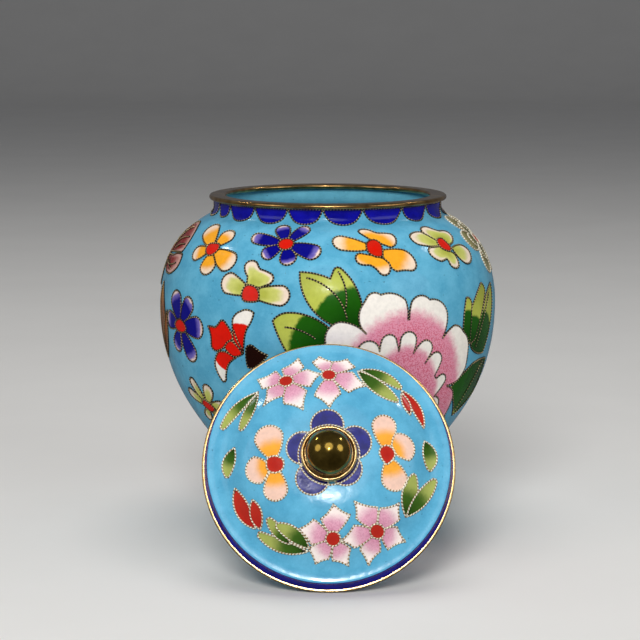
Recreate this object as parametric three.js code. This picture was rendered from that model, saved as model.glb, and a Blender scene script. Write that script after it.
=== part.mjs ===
// Cloisonne ginger jar with its lid taken off.
// The hollow enamelled copper body stands on a gilt foot ring and carries a gilt mouth ring.
// The domed lid, with a collar and a ball knob, stands on its own edge and leans back
// against the front of the body. Millimetres, +Z up, and everything rests on z = 0.

import * as THREE from 'three';

// Body, from the foot upwards
const bodyFootRadius = 26.2;
const waistRadius = 25.2;
const waistHeight = 9;
const bellyRadius = 46;
const bellyHeight = 61.3;
const neckRadius = 31.1;
const neckLength = 3.3;
const bodyTopHeight = 89.3;
const bodyWall = 1.8;
const bodyFloor = 2;

// Fullness of the body's curves: how far each end of a curve keeps its own direction
const waistReach = 14.5;
const underBellyReach = 30.9;
const overBellyReach = 10.7;
const shoulderReach = 11.8;
const shoulderSlope = THREE.MathUtils.degToRad(25.3);

// Gilt rings
const footRingHeight = 2.2;
const footRingStep = 0.5;
const footRingWidth = 3;
const mouthRingOverhang = 1.1;
const mouthRingThickness = 1.3;
const mouthOpeningRadius = 27.7;
const ringEdgeRound = 0.35;

// Lid, along its own axis from the edge that seats on the mouth ring
const lidInset = 0.8;
const lidWall = 1.3;
const skirtHeight = 4.2;
const skirtFlare = 1.1;
const brimRound = 0.9;
const brimReach = 7.6;
const domeReach = 17.6;
const domeHeight = 13;
const locatingRingClearance = 0.6;
const locatingRingWall = 1.1;
const locatingRingDepth = 2;

// Knob
const collarHeight = 1.6;
const collarFloor = 0.9;
const collarLip = 0.8;
const knobRadius = 5.75;
const knobCentreAboveCollar = 0.6;

// Where the lid leans, and the gap that neighbouring pieces keep
const leanAngle = THREE.MathUtils.degToRad(25.5);
const leanGap = 0.3;
const seatGap = 0.3;

// Sides and steps of the round pieces
const bodySides = 60;
const lidSides = 48;
const ringSides = 56;
const knobSides = 24;
const curveSteps = 9;
const insideCurveSteps = 6;
const shortCurveSteps = 3;
const knobSteps = 8;

// Sizes that follow from the ones above
const mouthRingRadius = neckRadius + mouthRingOverhang;
const footRingRadius = bodyFootRadius + footRingStep;
const lidRadius = mouthRingRadius - lidInset;
const brimHeight = skirtHeight + brimRound;
const skirtTopRadius = lidRadius - skirtFlare;
const knobSeatHeight = domeHeight;
const collarRadius = knobRadius + seatGap + collarLip;
const locatingRingRadius = mouthOpeningRadius - locatingRingClearance;

const finishes = {
  enamel: { color: 0x5ab4da, roughness: 0.18, metalness: 0 },
  gilt: { color: 0xc9a45c, roughness: 0.3, metalness: 1 },
  polishedBrass: { color: 0xb5923e, roughness: 0.12, metalness: 1 },
};

function point(radius, height) {
  return new THREE.Vector2(radius, height);
}

function bezier(start, startHandle, endHandle, end, steps) {
  return new THREE.CubicBezierCurve(start, startHandle, endHandle, end).getPoints(steps);
}

function bend(start, corner, end, steps) {
  return new THREE.QuadraticBezierCurve(start, corner, end).getPoints(steps);
}

// Joins stretches of outline and drops the points that two stretches share.
function joined(...stretches) {
  const outline = stretches.flat();
  return outline.filter((p, i) => i === 0 || p.distanceTo(outline[i - 1]) > 1e-6);
}

// The same outline, moved to its left by a distance.
function movedLeft(outline, distance) {
  return outline.map((p, i) => {
    const before = outline[Math.max(i - 1, 0)];
    const after = outline[Math.min(i + 1, outline.length - 1)];
    const along = after.clone().sub(before).normalize();
    return point(p.x - along.y * distance, p.y + along.x * distance);
  });
}

// The radius of an upright outline at a height.
function radiusAt(outline, height) {
  for (let i = 1; i < outline.length; i += 1) {
    const [low, high] = [outline[i - 1], outline[i]];
    if (height >= low.y && height <= high.y) {
      const share = (height - low.y) / Math.max(high.y - low.y, 1e-9);
      return low.x + share * (high.x - low.x);
    }
  }
  return outline[outline.length - 1].x;
}

// The height of an outline that runs outwards, at a radius.
function heightAt(outline, radius) {
  for (let i = 1; i < outline.length; i += 1) {
    const [inner, outer] = [outline[i - 1], outline[i]];
    if (radius >= inner.x && radius <= outer.x) {
      const share = (radius - inner.x) / Math.max(outer.x - inner.x, 1e-9);
      return inner.y + share * (outer.y - inner.y);
    }
  }
  return outline[outline.length - 1].y;
}

function turned(name, outline, sides, finish) {
  const geometry = new THREE.LatheGeometry(outline, sides);
  geometry.rotateX(Math.PI / 2);
  const mesh = new THREE.Mesh(geometry, new THREE.MeshStandardMaterial(finishes[finish]));
  mesh.name = name;
  return mesh;
}

// Body: waist above the foot, full belly, shoulder and a short upright neck.
function bodyOutline(steps) {
  const waist = point(waistRadius, waistHeight);
  const belly = point(bellyRadius, bellyHeight);
  const neckBase = point(neckRadius, bodyTopHeight - neckLength);
  const foot = bend(
    point(bodyFootRadius, footRingHeight),
    point(waistRadius, (footRingHeight + waistHeight) / 2),
    waist,
    shortCurveSteps,
  );
  const lower = bezier(
    waist,
    point(waistRadius, waistHeight + waistReach),
    point(bellyRadius, bellyHeight - underBellyReach),
    belly,
    steps,
  );
  const shoulder = bezier(
    belly,
    point(bellyRadius, bellyHeight + overBellyReach),
    point(
      neckRadius + shoulderReach * Math.cos(shoulderSlope),
      neckBase.y - shoulderReach * Math.sin(shoulderSlope),
    ),
    neckBase,
    steps,
  );
  return joined(foot, lower, shoulder, [point(neckRadius, bodyTopHeight)]);
}

function jarBody(outside) {
  const floorHeight = footRingHeight + bodyFloor;
  const inside = movedLeft(bodyOutline(insideCurveSteps), bodyWall);
  const above = inside.filter((p) => p.y > floorHeight + bodyWall && p.y < bodyTopHeight);
  const outline = [
    point(0, footRingHeight),
    ...outside,
    point(neckRadius - bodyWall, bodyTopHeight),
    ...above.reverse(),
    point(radiusAt(inside, floorHeight + bodyWall) - bodyWall, floorHeight),
    point(0, floorHeight),
  ];
  return turned('jar_body', outline, bodySides, 'enamel');
}

// A flat ring whose outer and upper edges are eased.
function flatRing(name, innerRadius, outerRadius, bottom, top) {
  const outline = [
    point(innerRadius, bottom),
    point(outerRadius - ringEdgeRound, bottom),
    point(outerRadius, bottom + ringEdgeRound),
    point(outerRadius, top - ringEdgeRound),
    point(outerRadius - ringEdgeRound, top),
    point(innerRadius + ringEdgeRound, top),
    point(innerRadius, top - ringEdgeRound),
    point(innerRadius, bottom),
  ];
  return turned(name, outline, ringSides, 'gilt');
}

// Lid: flared skirt, rounded brim and an ogee that rises to the flat seat of the knob.
// Locating ring: a low upright ring under the brim, which drops into the mouth.
function lidShell() {
  const brimEdge = point(skirtTopRadius - brimRound, brimHeight);
  const seatEdge = point(collarRadius, domeHeight);
  const skirt = bend(
    point(lidRadius, 0),
    point(skirtTopRadius, skirtHeight / 2),
    point(skirtTopRadius, skirtHeight),
    shortCurveSteps,
  );
  const edge = bend(
    point(skirtTopRadius, skirtHeight),
    point(skirtTopRadius, brimHeight),
    brimEdge,
    shortCurveSteps,
  );
  const ogee = bezier(
    brimEdge,
    point(brimEdge.x - brimReach, brimHeight),
    point(seatEdge.x + domeReach, domeHeight),
    seatEdge,
    curveSteps,
  );
  const underside = movedLeft(ogee, lidWall).reverse();
  const ringInner = locatingRingRadius - locatingRingWall;
  const skirtInner = skirtTopRadius - lidWall;
  const outline = [
    point(0, domeHeight - lidWall),
    ...underside.filter((p) => p.x < ringInner),
    point(ringInner, heightAt(underside, ringInner)),
    point(ringInner, -locatingRingDepth),
    point(locatingRingRadius, -locatingRingDepth),
    point(locatingRingRadius, heightAt(underside, locatingRingRadius)),
    point(skirtInner, heightAt(underside, skirtInner)),
    point(lidRadius - lidWall, 0),
    ...joined(skirt, edge, ogee),
    point(0, domeHeight),
  ];
  return turned('lid_shell', outline, lidSides, 'enamel');
}

// Collar: a shallow cup with a rolled lip, on the flat top of the lid. The ball fits in it.
function knobCollar() {
  const bottom = knobSeatHeight + seatGap;
  const top = bottom + collarHeight;
  const outline = [
    point(0, bottom),
    point(collarRadius - collarLip / 2, bottom),
    point(collarRadius, bottom + collarHeight / 2),
    point(collarRadius - collarLip / 4, top - collarLip / 4),
    point(collarRadius - collarLip / 2, top),
    point(collarRadius - collarLip, top - collarLip / 4),
    point(collarRadius - collarLip, bottom + collarFloor),
    point(0, bottom + collarFloor),
  ];
  return turned('knob_collar', outline, knobSides, 'gilt');
}

// Knob: a ball with a flat foot in the collar's cup.
function knobBall() {
  const foot = knobSeatHeight + seatGap + collarFloor + seatGap;
  const centre = knobSeatHeight + seatGap + collarHeight + knobCentreAboveCollar;
  const footAngle = Math.asin((foot - centre) / knobRadius);
  const outline = [point(0, foot)];
  for (let i = 0; i < knobSteps; i += 1) {
    const angle = footAngle + (i / knobSteps) * (Math.PI / 2 - footAngle);
    outline.push(point(knobRadius * Math.cos(angle), centre + knobRadius * Math.sin(angle)));
  }
  outline.push(point(0, centre + knobRadius));
  return turned('knob_ball', outline, knobSides, 'polishedBrass');
}

// How far in front of the body's axis the lid's edge stands, so that neither its skirt
// nor its locating ring comes nearer to the body than the gap.
function standOff(outside) {
  const edges = [point(lidRadius, 0), point(locatingRingRadius, -locatingRingDepth)];
  const distances = edges.map((edge) => {
    const slant = lidRadius + edge.x;
    const height = slant * Math.cos(leanAngle) + edge.y * Math.sin(leanAngle);
    const back = slant * Math.sin(leanAngle) - edge.y * Math.cos(leanAngle);
    return radiusAt(outside, height) + leanGap + back;
  });
  return Math.max(...distances);
}

function leaningLid(outside) {
  const lid = new THREE.Group();
  lid.add(lidShell(), knobCollar(), knobBall());
  lid.rotation.x = Math.PI / 2 - leanAngle;
  lid.position.set(
    0,
    lidRadius * Math.sin(leanAngle) - standOff(outside),
    lidRadius * Math.cos(leanAngle),
  );
  return lid;
}

const outside = bodyOutline(curveSteps);
const jar = new THREE.Group();
jar.add(
  jarBody(outside),
  flatRing('foot_ring', footRingRadius - footRingWidth, footRingRadius, 0, footRingHeight),
  flatRing(
    'mouth_ring',
    mouthOpeningRadius,
    mouthRingRadius,
    bodyTopHeight,
    bodyTopHeight + mouthRingThickness,
  ),
  leaningLid(outside),
);

// The origin is the middle of the space that the whole object takes, on the surface it stands on.
jar.updateMatrixWorld(true);
const middle = new THREE.Box3().setFromObject(jar, true).getCenter(new THREE.Vector3());
const part = new THREE.Group();
jar.position.set(-middle.x, -middle.y, 0);
part.add(jar);

export default part;
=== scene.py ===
# The looks of the cloisonne ginger jar: enamel grounds, enamel cells and twisted wires laid on
# the jar and on its leaning lid, gilt rings and a polished knob.
# Places on the jar are (right, up) in millimetres along its skin from a named azimuth and height;
# places on the lid are (right, up) in millimetres from its middle, as one looks at its top.

import math

import bpy
import numpy as np
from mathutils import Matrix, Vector
from mathutils.geometry import delaunay_2d_cdt


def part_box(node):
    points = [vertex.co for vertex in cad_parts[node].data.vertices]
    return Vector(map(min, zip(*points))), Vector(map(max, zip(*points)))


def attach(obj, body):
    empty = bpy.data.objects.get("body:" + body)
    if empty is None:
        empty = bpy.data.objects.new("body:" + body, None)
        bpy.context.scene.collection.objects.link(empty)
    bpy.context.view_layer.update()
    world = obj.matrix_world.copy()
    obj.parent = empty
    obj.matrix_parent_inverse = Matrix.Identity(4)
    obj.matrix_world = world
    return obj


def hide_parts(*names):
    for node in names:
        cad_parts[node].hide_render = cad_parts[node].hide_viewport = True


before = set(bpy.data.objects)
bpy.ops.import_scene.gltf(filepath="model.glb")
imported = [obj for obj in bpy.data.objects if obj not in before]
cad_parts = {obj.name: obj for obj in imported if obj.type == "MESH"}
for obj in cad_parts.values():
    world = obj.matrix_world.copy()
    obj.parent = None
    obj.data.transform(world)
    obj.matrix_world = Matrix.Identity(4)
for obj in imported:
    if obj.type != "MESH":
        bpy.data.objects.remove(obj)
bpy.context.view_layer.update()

MM = 0.001

# Jar and rings, in millimetres
BODY_FOOT_RADIUS = 26.2
WAIST_RADIUS = 25.2
WAIST_HEIGHT = 9.0
BELLY_RADIUS = 46.0
BELLY_HEIGHT = 61.3
NECK_RADIUS = 31.1
NECK_LENGTH = 3.3
NECK_EASE = 1.5
BODY_TOP = 89.3
BODY_WALL = 1.8
BODY_FLOOR = 2.0
FLOOR_BEND = 3.0
WAIST_REACH = 14.5
UNDER_BELLY_REACH = 30.9
OVER_BELLY_REACH = 10.7
SHOULDER_REACH = 11.8
SHOULDER_SLOPE = math.radians(25.3)
FOOT_RING_HEIGHT = 2.2
FOOT_RING_RADIUS = BODY_FOOT_RADIUS + 0.5
FOOT_OPENING_RADIUS = FOOT_RING_RADIUS - 3.0
MOUTH_OPENING_RADIUS = 27.7
MOUTH_RING_RADIUS = NECK_RADIUS + 1.1
MOUTH_RING_TOP = BODY_TOP + 1.3

# Lid, along its own axis from the edge that seats on the mouth ring
LID_RADIUS = 31.4
LID_WALL = 1.3
SKIRT_HEIGHT = 4.2
SKIRT_TOP_RADIUS = 30.3
BRIM_ROUND = 0.9
BRIM_REACH = 7.6
DOME_REACH = 17.6
DOME_HEIGHT = 13.0
LOCATING_RADIUS = 27.1
LOCATING_WALL = 1.1
LOCATING_DEPTH = 2.0
LID_EDGE_HEIGHT = 0.5
LEAN = math.radians(25.5)
SEAT_GAP = 0.3
COLLAR_HEIGHT = 1.6
COLLAR_FLOOR = 0.9
COLLAR_LIP = 0.8
KNOB_RADIUS = 5.75
KNOB_ABOVE_COLLAR = 0.6
COLLAR_RADIUS = KNOB_RADIUS + SEAT_GAP + COLLAR_LIP

# The ball is this much smaller than its plain solid, whose sides are flat
POLISHED_OFF = 0.04

# Turned pieces: sides round the axis, and how near to it they start
JAR_SIDES = 240
LID_SIDES = 200
RING_SIDES = 160
INSIDE_SIDES = 120
KNOB_SIDES = 96
AXIS_GAP = 0.05

# Rings: the share of their height that their edges round off
RING_EASE = 0.42

# Enamel and wire: how far the ground lies inside the full outline, how far the cells rise, the
# wires' size and beads, the steps of outlines, and where a star petal starts
GROUND_INSET = 0.32
CELL_RISE = 0.04
COVERED_RISE = 0.02
LAYER_RISE = 0.02
MENISCUS_RISE = 0.06
MENISCUS_WIDTH = 0.35
PLATE_DEPTH = 0.12
WIRE_WIDE = 0.31
WIRE_NARROW = 0.2
WIRE_LIFT = 0.03
WIRE_BEAD = 0.8
MOST_LAYERS = 5
WIRE_STEP = 0.2
WIRE_SIDES = 6
CELL_GRID = 0.62
GRID_MARGIN = CELL_GRID * 0.4
OUTLINE_STEP = 0.3
STAR_START = 1.2
STAR_ROOT = 0.75

# Camera of the photograph, from the jar's axis in millimetres
CAMERA_RIGHT = -2.14
CAMERA_BACK = 550.0
CAMERA_HEIGHT = 141.1
CAMERA_PITCH = math.radians(8.82)
CAMERA_LENS = 114.1
SENSOR_WIDTH = 36.0

# Where the jar and the lid stand in the frame
jar_low, jar_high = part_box("jar_body")
lid_low, lid_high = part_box("lid_shell")
JAR_AXIS = np.array([(jar_low.x + jar_high.x) / 2, (jar_low.y + jar_high.y) / 2, 0.0]) / MM
LID_MIDDLE = np.array([
    (lid_low.x + lid_high.x) / 2 / MM,
    lid_high.y / MM - LID_RADIUS * math.sin(LEAN),
    LID_RADIUS * math.cos(LEAN),
])
LID_RIGHT = np.array([1.0, 0.0, 0.0])
LID_UP = np.array([0.0, math.sin(LEAN), math.cos(LEAN)])
LID_OUT = np.array([0.0, -math.cos(LEAN), math.sin(LEAN)])


# Outlines of turned pieces

def bezier(start, start_handle, end_handle, end, steps):
    t = np.linspace(0, 1, steps + 1)[:, None]
    a, b, c, d = (np.array(p, float) for p in (start, start_handle, end_handle, end))
    return (1 - t) ** 3 * a + 3 * (1 - t) ** 2 * t * b + 3 * (1 - t) * t * t * c + t ** 3 * d


def bend(start, corner, end, steps):
    a, b, c = (np.array(p, float) for p in (start, corner, end))
    return bezier(a, a + (b - a) * 2 / 3, c + (b - c) * 2 / 3, c, steps)


def joined(*stretches):
    points = np.vstack([np.atleast_2d(s) for s in stretches])
    keep = np.r_[True, np.hypot(*np.diff(points, axis=0).T) > 1e-4]
    return points[keep]


def slopes(outline):
    """Unit directions along an outline."""
    along = np.gradient(outline, axis=0)
    return along / np.linalg.norm(along, axis=1)[:, None]


def moved_left(outline, distance):
    along = slopes(outline)
    return outline + np.stack([-along[:, 1], along[:, 0]], axis=1) * distance


def body_outline(steps):
    up = np.array([0.0, 1.0])
    slope = np.array([math.cos(SHOULDER_SLOPE), -math.sin(SHOULDER_SLOPE)])
    waist = np.array([WAIST_RADIUS, WAIST_HEIGHT])
    belly = np.array([BELLY_RADIUS, BELLY_HEIGHT])
    neck = np.array([NECK_RADIUS, BODY_TOP - NECK_LENGTH])
    corner = (WAIST_RADIUS, (FOOT_RING_HEIGHT + WAIST_HEIGHT) / 2)
    foot = bend((BODY_FOOT_RADIUS, FOOT_RING_HEIGHT), corner, waist, steps // 3)
    lower = bezier(waist, waist + up * WAIST_REACH, belly - up * UNDER_BELLY_REACH, belly, steps)
    shoulder = bezier(belly, belly + up * OVER_BELLY_REACH, neck + slope * SHOULDER_REACH, neck, steps)
    shoulder = shoulder[np.hypot(*(shoulder - neck).T) >= NECK_EASE]
    ease = bend(shoulder[-1], neck, neck + up * NECK_EASE, 8)
    straight = np.linspace(neck + up * NECK_EASE, (NECK_RADIUS, BODY_TOP), 5)
    return joined(foot, lower, shoulder, ease, straight)


def lid_outline(steps):
    """The lid's outside, from the seat of the knob out and down to its edge."""
    crown = np.array([COLLAR_RADIUS, DOME_HEIGHT])
    brim = np.array([SKIRT_TOP_RADIUS - BRIM_ROUND, SKIRT_HEIGHT + BRIM_ROUND])
    skirt_top = (SKIRT_TOP_RADIUS, SKIRT_HEIGHT)
    flat = np.linspace((AXIS_GAP, DOME_HEIGHT), crown, 8)
    ogee = bezier(crown, crown + (DOME_REACH, 0), brim - (BRIM_REACH, 0), brim, steps)
    edge = bend(brim, (SKIRT_TOP_RADIUS, brim[1]), skirt_top, steps // 6)
    skirt = bend(skirt_top, (SKIRT_TOP_RADIUS, SKIRT_HEIGHT / 2), (LID_RADIUS, 0), steps // 4)
    return joined(flat, ogee, edge, skirt)


# Skins: an outline turned into a surface on which cells and wires are laid

class Skin:
    """A turned outside surface. travel is the distance along its outline from one end."""

    def __init__(self, outline, outward):
        self.outline = outline
        self.travel = np.r_[0, np.cumsum(np.hypot(*np.diff(outline, axis=0).T))]
        along = slopes(outline)
        self.normal = np.stack([along[:, 1], -along[:, 0]], axis=1) * outward

    def at(self, travel):
        """Radius, height and the normal's two parts at a travel."""
        sides = [self.outline[:, 0], self.outline[:, 1], self.normal[:, 0], self.normal[:, 1]]
        return [np.interp(travel, self.travel, side) for side in sides]


class JarSkin(Skin):
    """The jar's outside. spot() gives a copy whose places count from one azimuth and height."""

    def __init__(self):
        super().__init__(body_outline(60), 1)
        self.azimuth, self.start = 0.0, 0.0

    def spot(self, azimuth, height):
        skin = JarSkin()
        skin.azimuth = math.radians(azimuth)
        skin.start = float(np.interp(height, self.outline[:, 1], self.travel))
        return skin

    def spread(self, flat):
        """Places on one sheet that all spots share."""
        travel = self.start + flat[:, 1]
        radius = self.at(travel)[0]
        return np.stack([(self.azimuth + flat[:, 0] / radius) * BELLY_RADIUS, travel], axis=1)

    def place(self, flat, rise):
        travel = np.clip(self.start + flat[:, 1], 0.0, self.travel[-1])
        radius, height, out, up = self.at(travel)
        azimuth = self.azimuth + flat[:, 0] / radius
        far = radius + out * (rise - GROUND_INSET)
        level = height + up * (rise - GROUND_INSET)
        return JAR_AXIS + np.stack([far * np.sin(azimuth), -far * np.cos(azimuth), level], axis=1)


class LidSkin(Skin):
    """The lid's outside, seen from above, in the plane of its edge."""

    def __init__(self):
        super().__init__(lid_outline(60), -1)
        self.reach = self.outline[:, 0]

    def spread(self, flat):
        return flat

    def place(self, flat, rise):
        radius = np.maximum(np.hypot(flat[:, 0], flat[:, 1]), 1e-3)
        travel = np.interp(radius, self.reach[self.top], self.travel[self.top])
        _, height, out, up = self.at(travel)
        share = (radius + out * (rise - GROUND_INSET)) / radius
        lift = height + up * (rise - GROUND_INSET)
        return lid_place(flat[:, 0] * share, flat[:, 1] * share, lift)

    @property
    def top(self):
        """The stretch of the outline that faces up."""
        return slice(0, int(np.argmax(self.reach >= SKIRT_TOP_RADIUS - 1e-6)))


def lid_place(right, up, out):
    return (
        LID_MIDDLE
        + np.multiply.outer(right, LID_RIGHT)
        + np.multiply.outer(up, LID_UP)
        + np.multiply.outer(out, LID_OUT)
    )


# Flat outlines: corners (right, up, bow) joined by arcs

def arc(start, end, bow):
    """Points of an arc without its end. bow is its height over half its chord, to the right."""
    p, q = complex(*start), complex(*end)
    if abs(bow) < 1e-3:
        count = max(1, math.ceil(abs(q - p) / OUTLINE_STEP))
        z = p + (q - p) * np.arange(count) / count
    else:
        turn = 4 * math.atan(bow)
        middle = (p + q) / 2 + 1j * (q - p) * (1 - bow * bow) / (4 * bow)
        count = max(2, math.ceil(abs(turn) * abs(p - middle) / OUTLINE_STEP))
        z = middle + (p - middle) * np.exp(1j * turn * np.arange(count) / count)
    return np.stack([z.real, z.imag], axis=1)


def outline(corners):
    """A closed outline. A positive bow swells outwards."""
    flat = np.array([c[:2] for c in corners], float)
    after = np.roll(flat, -1, axis=0)
    area = (flat[:, 0] * after[:, 1] - flat[:, 1] * after[:, 0]).sum()
    outward = -1 if area < -1e-9 else 1
    return np.vstack([arc(p, q, c[2] * outward) for p, q, c in zip(flat, after, corners)])


def stroke(corners):
    """An open line. A positive bow swells to its right."""
    ends = zip(corners, corners[1:])
    return np.vstack([arc(p[:2], q[:2], p[2]) for p, q in ends] + [np.array([corners[-1][:2]])])


def turned_by(corners, angle, middle=(0, 0)):
    c, s = math.cos(math.radians(angle)), math.sin(math.radians(angle))
    return [(middle[0] + x * c - y * s, middle[1] + x * s + y * c, b) for x, y, b in corners]


def petal(angle, length, width, start=1.7, root=0.9, side=0.12, tip=0.85, middle=(0, 0)):
    """A round-ended petal that leaves a flower's middle at an angle."""
    shoulder = length - tip * width / 2
    corners = [
        (start, -root, side),
        (shoulder, -width / 2, tip),
        (shoulder, width / 2, side),
        (start, root, 0.0),
    ]
    return turned_by(corners, angle, middle)


def leaf(root, tip, right, left, blunt=0.0):
    """A leaf of two arcs, seen from its root. A blunt tip is that wide."""
    if not blunt:
        return [(*root, right), (*tip, left)]
    along = np.array(tip, float) - root
    along /= np.linalg.norm(along)
    side = np.array([along[1], -along[0]]) * blunt / 2
    end = np.array(tip) - along * blunt / 2
    return [(*root, right), (*(end + side), 0.8), (*(end - side), left)]


def star_petal(middle, left, apex, right):
    """A petal that ends in three points, with hollow edges between them."""
    along = np.array(apex, float) - middle
    along /= np.linalg.norm(along)
    side = np.array([-along[1], along[0]]) * STAR_ROOT
    near = np.array(middle) + along * STAR_START
    return [
        (*(near + side), 0.1),
        (*left, -0.14),
        (*apex, -0.14),
        (*right, 0.1),
        (*(near - side), 0.0),
    ]


# Meshes

class Piece:
    """Patches of mesh, each with its finish, that become one object."""

    def __init__(self, name, slot):
        self.name, self.slot = name, slot
        self.points, self.faces, self.finish_of = [], [], []
        self.marks = {"along": [], "edge": []}
        self.finishes = []
        self.count = 0

    def add(self, points, faces, finish, along=0.0, edge=9.0):
        if finish not in self.finishes:
            self.finishes.append(finish)
        self.points.append(points)
        self.faces += [[i + self.count for i in face] for face in faces]
        self.finish_of += [self.finishes.index(finish)] * len(faces)
        self.marks["along"].append(np.broadcast_to(along, len(points)))
        self.marks["edge"].append(np.broadcast_to(edge, len(points)))
        self.count += len(points)

    def build(self, *replaced):
        mesh = bpy.data.meshes.new(self.name)
        points = np.vstack(self.points) * MM
        mesh.from_pydata(points.tolist(), [], self.faces)
        mesh.polygons.foreach_set("material_index", self.finish_of)
        mesh.polygons.foreach_set("use_smooth", [True] * len(self.faces))
        for name, values in self.marks.items():
            mark = mesh.attributes.new(name, "FLOAT", "POINT")
            mark.data.foreach_set("value", np.concatenate(values).astype(np.float32))
        for finish in self.finishes:
            mesh.materials.append(finish)
        mesh.update()
        piece = bpy.data.objects.new(self.name, mesh)
        bpy.context.scene.collection.objects.link(piece)
        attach(piece, "root")
        if replaced:
            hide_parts(*replaced)
        return piece


def distance_to(points, loop):
    """Distance of each point from a closed line."""
    starts, ends = loop, np.roll(loop, -1, axis=0)
    along = ends - starts
    length = np.maximum((along ** 2).sum(axis=1), 1e-12)
    best = np.full(len(points), 1e9)
    for start, way, size in zip(starts, along, length):
        share = np.clip((points - start) @ way / size, 0, 1)
        gap = points - start - share[:, None] * way
        best = np.minimum(best, (gap ** 2).sum(axis=1))
    return np.sqrt(best)


def is_inside(points, loop):
    x, y = points.T
    inside = np.zeros(len(points), bool)
    for (x0, y0), (x1, y1) in zip(loop, np.roll(loop, -1, axis=0)):
        if y0 == y1:
            continue
        crosses = (y0 > y) != (y1 > y)
        inside ^= crosses & (x < (x1 - x0) * (y - y0) / (y1 - y0) + x0)
    return inside


def is_covered(sheet, covers):
    covered = np.zeros(len(sheet), bool)
    for cover in covers:
        covered |= is_inside(sheet, cover)
    return covered


def cell(piece, skin, loop, finish, along, layer, covers):
    """An enamel cell: a thin plate whose face dips between the wires round it.

    It is thinner where a later cell covers it.
    """
    count = len(loop)
    extent = zip(loop.min(axis=0), loop.max(axis=0))
    columns, rows = (np.arange(low + CELL_GRID / 2, high, CELL_GRID) for low, high in extent)
    grid = np.array([(x, y) for x in columns for y in rows]).reshape(-1, 2)
    grid = grid[(distance_to(grid, loop) > GRID_MARGIN) & is_inside(grid, loop)]
    corners = [Vector(p) for p in np.vstack([loop, grid])]
    found, _, triangles, *_ = delaunay_2d_cdt(corners, [], [list(range(count))], 1, 1e-5)
    flat = np.array([tuple(p) for p in found])
    edge = distance_to(flat, loop)
    base = CELL_RISE + layer * LAYER_RISE
    rise = base + MENISCUS_RISE * np.exp(-((edge / MENISCUS_WIDTH) ** 2))
    rise[is_covered(skin.spread(flat), covers)] = COVERED_RISE
    piece.add(skin.place(flat, rise), triangles, finish, along(flat), edge)
    top = np.where(is_covered(skin.spread(loop), covers), COVERED_RISE, base + MENISCUS_RISE)
    rim = np.vstack([skin.place(loop, top), skin.place(loop, -PLATE_DEPTH)])
    sides = [(i, i + count, (i + 1) % count + count, (i + 1) % count) for i in range(count)]
    piece.add(rim, sides, finish, 0.0, 0.0)


def wire(piece, skin, line, finish, closed, covers):
    """A twisted wire along a line, left out where a cover lies over it."""
    path = np.vstack([line, line[:1]]) if closed else line
    travel = np.r_[0, np.cumsum(np.hypot(*np.diff(path, axis=0).T))]
    count = max(4, round(travel[-1] / WIRE_STEP))
    places = np.linspace(0, travel[-1], count, endpoint=not closed)
    flat = np.stack([np.interp(places, travel, path[:, k]) for k in (0, 1)], axis=1)
    turns = travel[-1] / (2 * WIRE_BEAD)
    twist = places / travel[-1] * (round(turns) if closed else turns) * 2 * math.pi
    shown = ~is_covered(skin.spread(flat), covers)
    if shown.all():
        strand(piece, skin, flat, twist, finish, closed)
        return
    first = int(np.argmin(shown))
    order = np.roll(np.arange(count), -first) if closed else np.arange(count)
    run = []
    for i in [*order, -1]:
        if i >= 0 and shown[i]:
            run.append(i)
            continue
        if len(run) > 3:
            strand(piece, skin, flat[run], twist[run], finish, False)
        run = []


def quads(rows, sides, closed):
    """Faces between rows of points, each row a ring of that many sides."""
    faces = []
    for i in range(rows if closed else rows - 1):
        here, there = i * sides, (i + 1) % rows * sides
        for j in range(sides):
            k = (j + 1) % sides
            faces.append((here + j, here + k, there + k, there + j))
    return faces


def strand(piece, skin, flat, twist, finish, closed):
    """One unbroken length of flat wire, twisted on itself and half sunk in the enamel."""
    count = len(flat)
    middle = skin.place(flat, np.full(count, WIRE_LIFT))
    normal = skin.place(flat, np.full(count, WIRE_LIFT + 1.0)) - middle
    if closed:
        along = np.roll(middle, -1, axis=0) - np.roll(middle, 1, axis=0)
    else:
        along = np.gradient(middle, axis=0)
    across = np.cross(along, normal)
    across /= np.maximum(np.linalg.norm(across, axis=1), 1e-9)[:, None]
    rings, crest_highlights = [], []
    for i in range(WIRE_SIDES):
        a = i / WIRE_SIDES * 2 * math.pi
        x, y = WIRE_WIDE * math.cos(a), WIRE_NARROW * math.sin(a)
        side = x * np.cos(twist) - y * np.sin(twist)
        high = x * np.sin(twist) + y * np.cos(twist)
        rings.append(middle + across * side[:, None] + normal * high[:, None])
        # Share of painted highlight: brightest at each bead's crest and where the wire's face turns out of
        # the enamel
        crest_highlights.append(np.sin(twist) ** 2 * (0.4 + 0.6 * np.clip(high / WIRE_WIDE, 0.0, 1.0)))
    points = np.stack(rings, axis=1).reshape(-1, 3)
    crest_highlight = np.stack(crest_highlights, axis=1).ravel()
    faces = quads(count, WIRE_SIDES, closed)
    if not closed:
        faces.append(tuple(range(WIRE_SIDES))[::-1])
        faces.append(tuple((count - 1) * WIRE_SIDES + j for j in range(WIRE_SIDES)))
    piece.add(points, faces, finish, crest_highlight, 0.0)


def turned(piece, outline_points, place, sides, finish, closed=False):
    """An outline (radius, height) turned round its axis; place gives the real places."""
    angles = np.linspace(0, 2 * math.pi, sides, endpoint=False)
    radius, height = outline_points.T
    right = np.multiply.outer(radius, np.sin(angles)).ravel()
    back = np.multiply.outer(radius, -np.cos(angles)).ravel()
    points = place(right, back, np.repeat(height, sides))
    piece.add(points, quads(len(radius), sides, closed), finish)


def jar_place(right, back, up):
    return JAR_AXIS + np.stack([right, back, up], axis=1)


# Shader maths

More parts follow.
